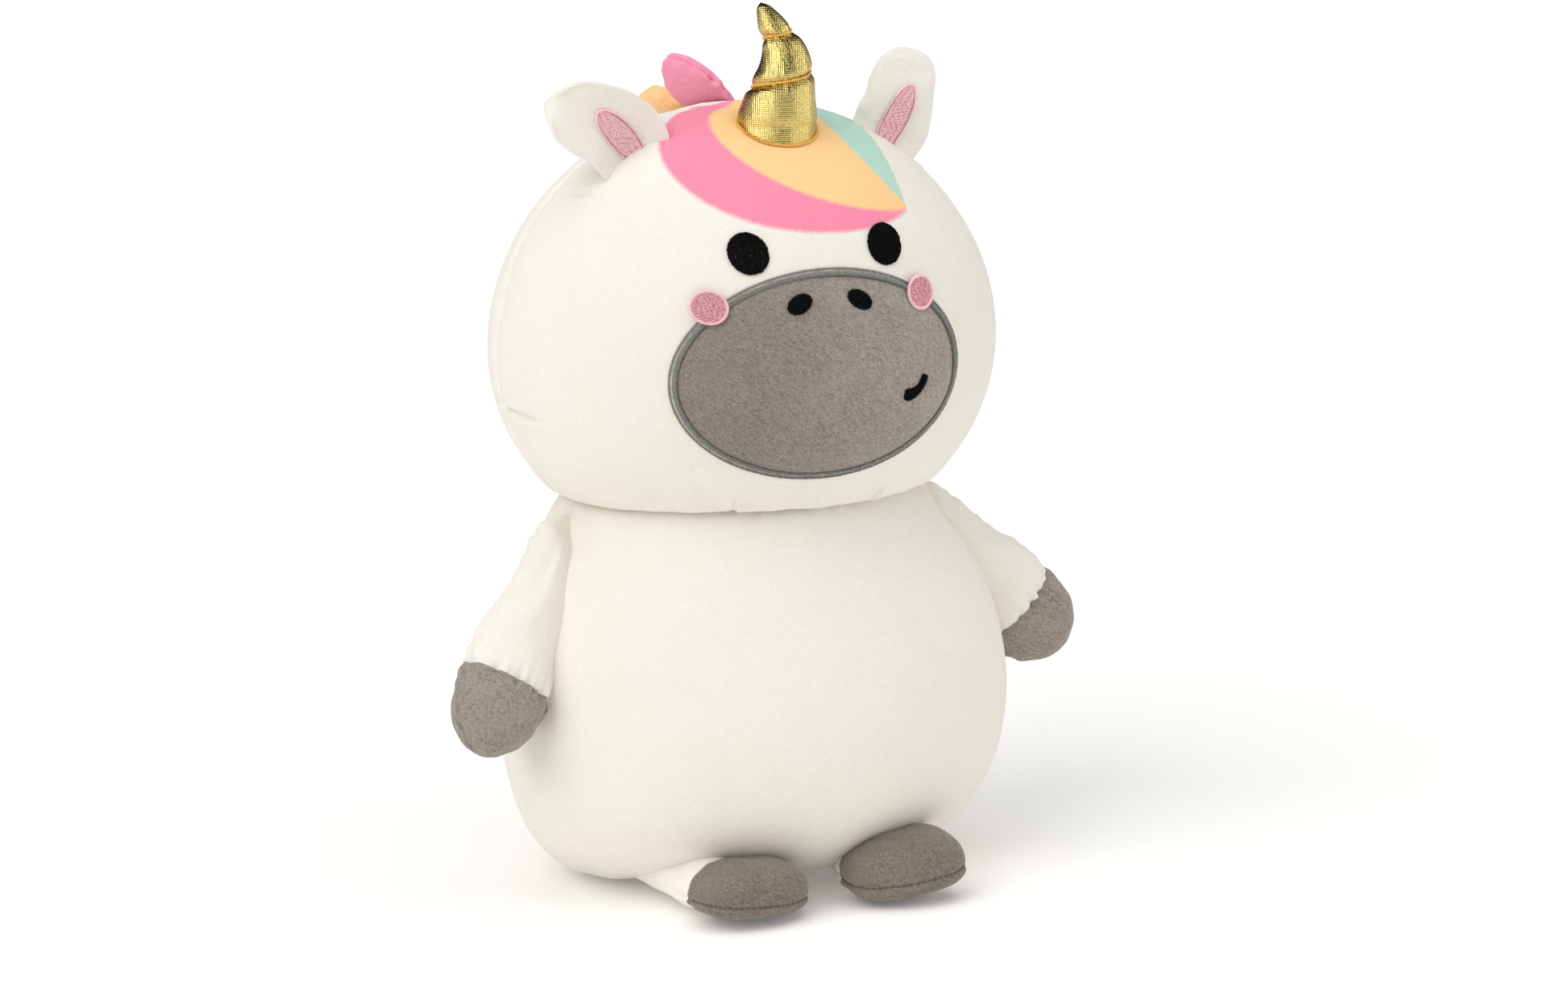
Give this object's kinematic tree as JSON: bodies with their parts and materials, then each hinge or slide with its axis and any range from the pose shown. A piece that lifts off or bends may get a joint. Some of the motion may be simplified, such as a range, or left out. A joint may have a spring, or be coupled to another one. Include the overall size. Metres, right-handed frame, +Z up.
{
  "type": "stuffed toy unicorn",
  "caption": "Round-headed plush unicorn that stands on a flat seat and short forward feet, with a bent gold horn, drooping ears, coloured mane lobes and soft grey hooves.",
  "frame": {"origin": "on the floor, on the flat underside of the seat, under the middle of the body", "axes": "+Z up, the face looks along -Y, +X is the toy's own left side"},
  "size_m": [0.266, 0.1843, 0.3315],
  "materials": {
    "white_plush": "short dense velvet pile, off-white",
    "grey_plush": "short velvet pile, warm grey",
    "grey_thread": "satin-stitched embroidery thread",
    "black_thread": "satin-stitched embroidery thread",
    "pink_thread": "filled embroidery with a satin edge",
    "pink_plush": "short velvet pile",
    "orange_plush": "short velvet pile",
    "mint_plush": "short velvet pile",
    "gold_lame": "foiled woven cloth with a metal shine",
    "gold_thread": "twisted sewing thread",
    "fibre_filling": "loose white fibre",
    "bead_bag": "cloth bag of small plastic beads"
  },
  "bodies": {
    "torso": {"torso_front_panel": "white_plush", "torso_back_panel": "white_plush", "base_panel": "white_plush", "torso_stuffing": "fibre_filling", "bead_pouch": "bead_bag"},
    "head": {"head_front_panel": "white_plush", "head_back_panel": "white_plush", "head_stuffing": "fibre_filling", "neck_stuffing": "fibre_filling", "muzzle_patch": "grey_plush", "muzzle_border": "grey_thread", "right_eye": "black_thread", "left_eye": "black_thread", "right_cheek": "pink_thread", "left_cheek": "pink_thread", "nostrils": "black_thread", "mouth": "black_thread", "horn_base_seam": "gold_thread"},
    "horn": {"horn_cover": "gold_lame", "horn_stuffing": "fibre_filling", "horn_thread": "gold_thread"},
    "right_ear": {"right_ear_front": "white_plush", "right_ear_back": "white_plush", "right_ear_stuffing": "fibre_filling", "right_ear_patch": "pink_thread"},
    "left_ear": {"left_ear_front": "white_plush", "left_ear_back": "white_plush", "left_ear_stuffing": "fibre_filling", "left_ear_patch": "pink_thread"},
    "mane_pink": {"mane_pink_cover": "pink_plush", "mane_pink_stuffing": "fibre_filling"},
    "mane_orange": {"mane_orange_cover": "orange_plush", "mane_orange_stuffing": "fibre_filling"},
    "mane_mint": {"mane_mint_cover": "mint_plush", "mane_mint_stuffing": "fibre_filling"},
    "right_arm": {"right_sleeve_front": "white_plush", "right_sleeve_back": "white_plush", "right_hand_hoof_front": "grey_plush", "right_hand_hoof_back": "grey_plush", "right_arm_stuffing": "fibre_filling"},
    "left_arm": {"left_sleeve_front": "white_plush", "left_sleeve_back": "white_plush", "left_hand_hoof_front": "grey_plush", "left_hand_hoof_back": "grey_plush", "left_arm_stuffing": "fibre_filling"},
    "right_leg": {"right_leg_top": "white_plush", "right_leg_under": "white_plush", "right_foot_hoof_top": "grey_plush", "right_foot_hoof_sole": "grey_plush", "right_leg_stuffing": "fibre_filling"},
    "left_leg": {"left_leg_top": "white_plush", "left_leg_under": "white_plush", "left_foot_hoof_top": "grey_plush", "left_foot_hoof_sole": "grey_plush", "left_leg_stuffing": "fibre_filling"},
    "tail": {"tail_pink": "pink_plush", "tail_orange": "orange_plush", "tail_mint": "mint_plush", "tail_stuffing": "fibre_filling"}
  },
  "joints": [
    {"name": "neck_nod", "type": "hinge", "parent": "torso", "child": "head", "pos_m": [0, 0, 0.16], "axis": [1, 0, 0], "range_deg": [-5, 5], "stiffness_Nm_per_rad": 2},
    {"name": "horn_tilt", "type": "hinge", "parent": "head", "child": "horn", "pos_m": [0.0016, -0.026, 0.2882], "axis": [1, 0, 0], "range_deg": [-5, 5], "stiffness_Nm_per_rad": 0.1},
    {"name": "right_ear_fold", "type": "hinge", "parent": "head", "child": "right_ear", "pos_m": [-0.0523, -0.011, 0.27999], "axis": [0.866, 0, 0.5], "range_deg": [-20, 20], "stiffness_Nm_per_rad": 0.02},
    {"name": "left_ear_fold", "type": "hinge", "parent": "head", "child": "left_ear", "pos_m": [0.0523, -0.011, 0.27999], "axis": [0.866, 0, -0.5], "range_deg": [-20, 20], "stiffness_Nm_per_rad": 0.02},
    {"name": "mane_pink_sway", "type": "hinge", "parent": "head", "child": "mane_pink", "pos_m": [0, 0.02397, 0.2897], "axis": [0, 0.933, -0.3598], "range_deg": [-12, 12], "stiffness_Nm_per_rad": 0.02},
    {"name": "mane_orange_sway", "type": "hinge", "parent": "head", "child": "mane_orange", "pos_m": [0, 0.04767, 0.27475], "axis": [0, 0.7679, -0.6406], "range_deg": [-12, 12], "stiffness_Nm_per_rad": 0.02},
    {"name": "mane_mint_sway", "type": "hinge", "parent": "head", "child": "mane_mint", "pos_m": [0, 0.06555, 0.25119], "axis": [0, 0.4348, -0.9005], "range_deg": [-12, 12], "stiffness_Nm_per_rad": 0.02},
    {"name": "right_arm_raise", "type": "hinge", "parent": "torso", "child": "right_arm", "pos_m": [-0.079, -0.007, 0.1305], "axis": [0, 0.9272, -0.3746], "range_deg": [0, 45], "stiffness_Nm_per_rad": 0.05},
    {"name": "left_arm_raise", "type": "hinge", "parent": "torso", "child": "left_arm", "pos_m": [0.0755, -0.003, 0.1305], "axis": [0, -0.9998, 0.0175], "range_deg": [-12, 35], "stiffness_Nm_per_rad": 0.05},
    {"name": "right_leg_lift", "type": "hinge", "parent": "torso", "child": "right_leg", "pos_m": [-0.041, -0.017, 0.0112], "axis": [-0.9659, -0.2588, 0], "range_deg": [0, 5], "stiffness_Nm_per_rad": 0.1},
    {"name": "left_leg_lift", "type": "hinge", "parent": "torso", "child": "left_leg", "pos_m": [0.041, -0.017, 0.0112], "axis": [-0.9945, 0.1045, 0], "range_deg": [0, 5], "stiffness_Nm_per_rad": 0.1},
    {"name": "tail_wag", "type": "hinge", "parent": "torso", "child": "tail", "pos_m": [0.003, 0.079, 0.0595], "axis": [0, 0, 1], "range_deg": [-15, 15], "stiffness_Nm_per_rad": 0.02}
  ]
}
